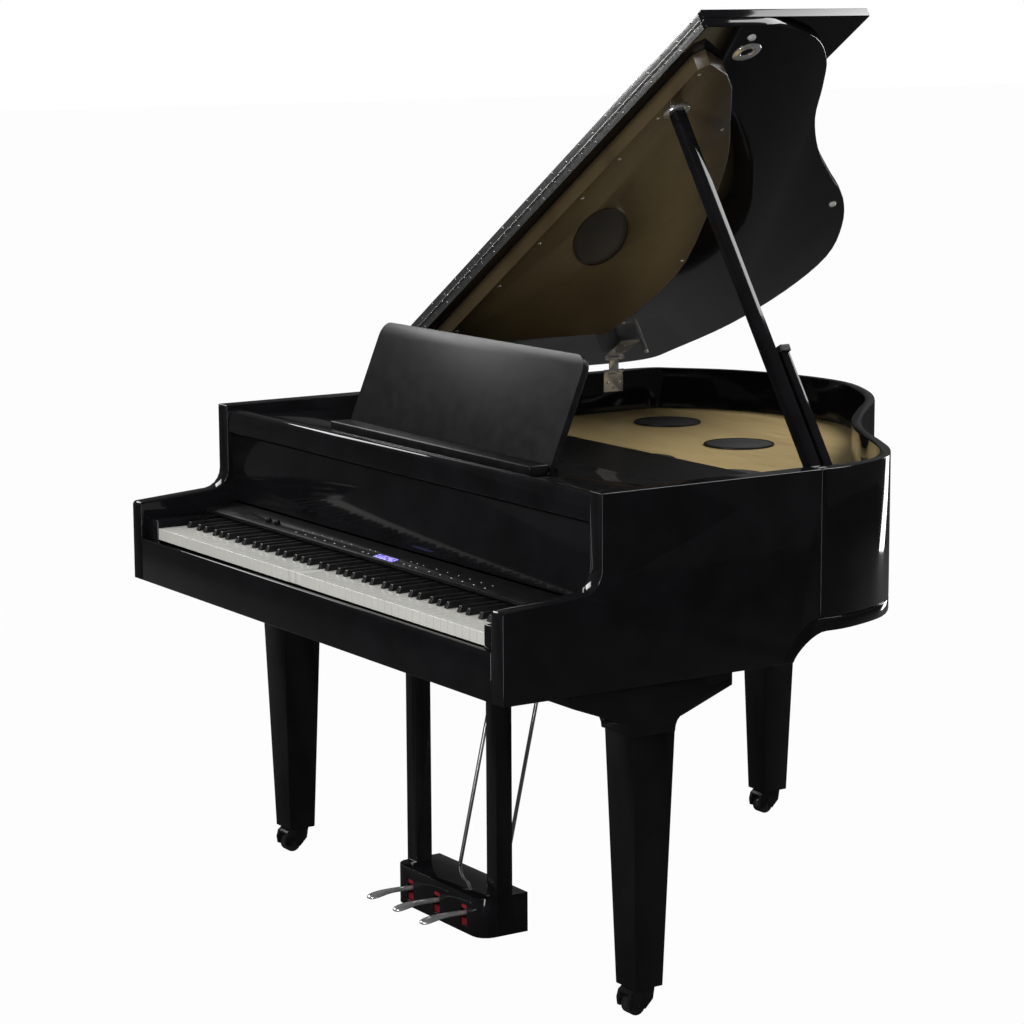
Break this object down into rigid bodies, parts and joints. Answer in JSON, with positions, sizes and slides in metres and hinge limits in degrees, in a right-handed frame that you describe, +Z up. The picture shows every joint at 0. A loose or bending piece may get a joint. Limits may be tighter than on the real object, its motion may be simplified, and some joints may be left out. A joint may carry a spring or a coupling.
{
  "type": "digital grand piano",
  "caption": "Black digital grand piano with a raised folding lid on its prop, open fallboard, music rest, wooden soundboard, pedal lyre and square tapered legs on casters.",
  "frame": {"origin": "middle of the whole piano's box, on the floor under the casters", "axes": "+X from the bass side to the treble side, +Y from the player to the tail, +Z up"},
  "size_m": [1.409, 1.4852, 1.7554],
  "materials": {
    "ebony": "high-gloss polished lacquer",
    "satin_black": "satin",
    "ivory": "satin",
    "sharp": "matte",
    "spruce": "satin clear lacquer over straight grain",
    "chrome": "polished",
    "nickel": "satin",
    "grille": "black mesh",
    "display": "backlit window",
    "wheel": "matte"
  },
  "bodies": {
    "case": {"bent_rim": "ebony", "black_keys": "sharp", "bottom_board": "ebony", "control_panel": "satin_black", "display": "display", "front_hinge_link": "chrome", "front_rim_leaf": "chrome", "inner_cover": "satin_black", "key_bed": "ebony", "keyslip": "ebony", "left_key_block": "ebony", "left_leg": "ebony", "left_leg_block": "ebony", "left_side_panel": "ebony", "lyre": "ebony", "lyre_rod_left": "nickel", "lyre_rod_right": "nickel", "music_ledge": "satin_black", "music_shelf": "ebony", "prop_bracket": "chrome", "rear_hinge_link": "chrome", "rear_leg": "ebony", "rear_rim_leaf": "chrome", "right_key_block": "ebony", "right_leg": "ebony", "right_leg_block": "ebony", "right_side_panel": "ebony", "soundboard": "spruce", "speaker_grille_1": "grille", "speaker_grille_2": "grille", "white_keys": "ivory"},
    "lid": {"lid": "ebony", "tone_board": "spruce", "lid_speaker_grille": "grille", "prop_socket_low": "chrome", "prop_socket_high": "chrome", "front_lid_leaf": "chrome", "rear_lid_leaf": "chrome", "lid_edge_leaf": "nickel"},
    "flap": {"flap": "ebony", "flap_edge_leaf": "nickel"},
    "long_prop": {"long_prop": "ebony"},
    "short_prop": {"short_prop": "ebony"},
    "fallboard": {"fallboard": "ebony"},
    "music_rest": {"music_rest": "satin_black"},
    "key_c4": {"key_c4": "ivory"},
    "key_c_sharp4": {"key_c_sharp4": "sharp"},
    "key_d4": {"key_d4": "ivory"},
    "volume_knob": {"volume_knob": "satin_black"},
    "tone_knob": {"tone_knob": "satin_black"},
    "left_pedal": {"left_pedal": "chrome"},
    "middle_pedal": {"middle_pedal": "chrome"},
    "right_pedal": {"right_pedal": "chrome"},
    "left_caster": {"left_caster": "satin_black"},
    "right_caster": {"right_caster": "satin_black"},
    "rear_caster": {"rear_caster": "satin_black"},
    "left_wheel": {"left_wheel": "wheel"},
    "right_wheel": {"right_wheel": "wheel"},
    "rear_wheel": {"rear_wheel": "wheel"}
  },
  "joints": [
    {"name": "lid_swing", "type": "hinge", "parent": "case", "child": "lid", "pos_m": [-0.6478, -0.16656, 0.985], "axis": [0, -1, 0], "range_deg": [0, 10]},
    {"name": "flap_fold", "type": "hinge", "parent": "lid", "child": "flap", "pos_m": [-0.10953, -0.16836, 1.3616], "axis": [0.8396, 0, 0.5432], "range_deg": [0, 180]},
    {"name": "prop_swing", "type": "hinge", "parent": "case", "child": "long_prop", "pos_m": [0.6522, -0.04256, 0.93], "axis": [0, 1, 0], "range_deg": [-58, 0]},
    {"name": "short_prop_swing", "type": "hinge", "parent": "case", "child": "short_prop", "pos_m": [0.6522, -0.01256, 0.93], "axis": [0, 1, 0], "range_deg": [-58, 0]},
    {"name": "fallboard_swing", "type": "hinge", "parent": "case", "child": "fallboard", "pos_m": [0.0072, -0.52056, 0.77], "axis": [1, 0, 0], "range_deg": [0, 90]},
    {"name": "music_rest_tilt", "type": "hinge", "parent": "case", "child": "music_rest", "pos_m": [0.0072, -0.41806, 0.9394], "axis": [-1, 0, 0], "range_deg": [0, 66]},
    {"name": "key_c4_press", "type": "hinge", "parent": "case", "child": "key_c4", "pos_m": [-0.0528, -0.53786, 0.7005], "axis": [1, 0, 0], "range_deg": [0, 3.1], "stiffness_Nm_per_rad": 0.3, "springref_deg": -22.92},
    {"name": "key_c_sharp4_press", "type": "hinge", "parent": "case", "child": "key_c_sharp4", "pos_m": [-0.0528, -0.53786, 0.7005], "axis": [1, 0, 0], "range_deg": [0, 3.1], "stiffness_Nm_per_rad": 0.3, "springref_deg": -22.92},
    {"name": "key_d4_press", "type": "hinge", "parent": "case", "child": "key_d4", "pos_m": [-0.0528, -0.53786, 0.7005], "axis": [1, 0, 0], "range_deg": [0, 3.1], "stiffness_Nm_per_rad": 0.3, "springref_deg": -22.92},
    {"name": "left_pedal_press", "type": "hinge", "parent": "case", "child": "left_pedal", "pos_m": [-0.0398, -0.41256, 0.07], "axis": [1, 0, 0], "range_deg": [0, 4.5], "stiffness_Nm_per_rad": 10, "springref_deg": -3.44},
    {"name": "middle_pedal_press", "type": "hinge", "parent": "case", "child": "middle_pedal", "pos_m": [0.0572, -0.41256, 0.07], "axis": [1, 0, 0], "range_deg": [0, 4.5], "stiffness_Nm_per_rad": 10, "springref_deg": -3.44},
    {"name": "right_pedal_press", "type": "hinge", "parent": "case", "child": "right_pedal", "pos_m": [0.1552, -0.41256, 0.07], "axis": [1, 0, 0], "range_deg": [0, 4.5], "stiffness_Nm_per_rad": 10, "springref_deg": -3.44},
    {"name": "volume_turn", "type": "hinge", "parent": "case", "child": "volume_knob", "pos_m": [-0.4228, -0.57256, 0.74855], "axis": [0, -0.1592, 0.9872], "range_deg": [-140, 140]},
    {"name": "tone_turn", "type": "hinge", "parent": "case", "child": "tone_knob", "pos_m": [-0.3878, -0.57256, 0.74855], "axis": [0, -0.1592, 0.9872], "range_deg": [-140, 140]},
    {"name": "left_caster_swivel", "type": "hinge", "parent": "case", "child": "left_caster", "pos_m": [-0.6208, -0.41556, 0.0517], "axis": [0, 0, 1], "continuous": true},
    {"name": "left_wheel_roll", "type": "hinge", "parent": "left_caster", "child": "left_wheel", "pos_m": [-0.6208, -0.42856, 0.018], "axis": [1, 0, 0], "continuous": true},
    {"name": "right_caster_swivel", "type": "hinge", "parent": "case", "child": "right_caster", "pos_m": [0.6352, -0.41556, 0.0517], "axis": [0, 0, 1], "continuous": true},
    {"name": "right_wheel_roll", "type": "hinge", "parent": "right_caster", "child": "right_wheel", "pos_m": [0.6352, -0.42856, 0.018], "axis": [1, 0, 0], "continuous": true},
    {"name": "rear_caster_swivel", "type": "hinge", "parent": "case", "child": "rear_caster", "pos_m": [-0.3053, 0.59744, 0.0517], "axis": [0, 0, 1], "continuous": true},
    {"name": "rear_wheel_roll", "type": "hinge", "parent": "rear_caster", "child": "rear_wheel", "pos_m": [-0.3053, 0.58444, 0.018], "axis": [1, 0, 0], "continuous": true}
  ]
}
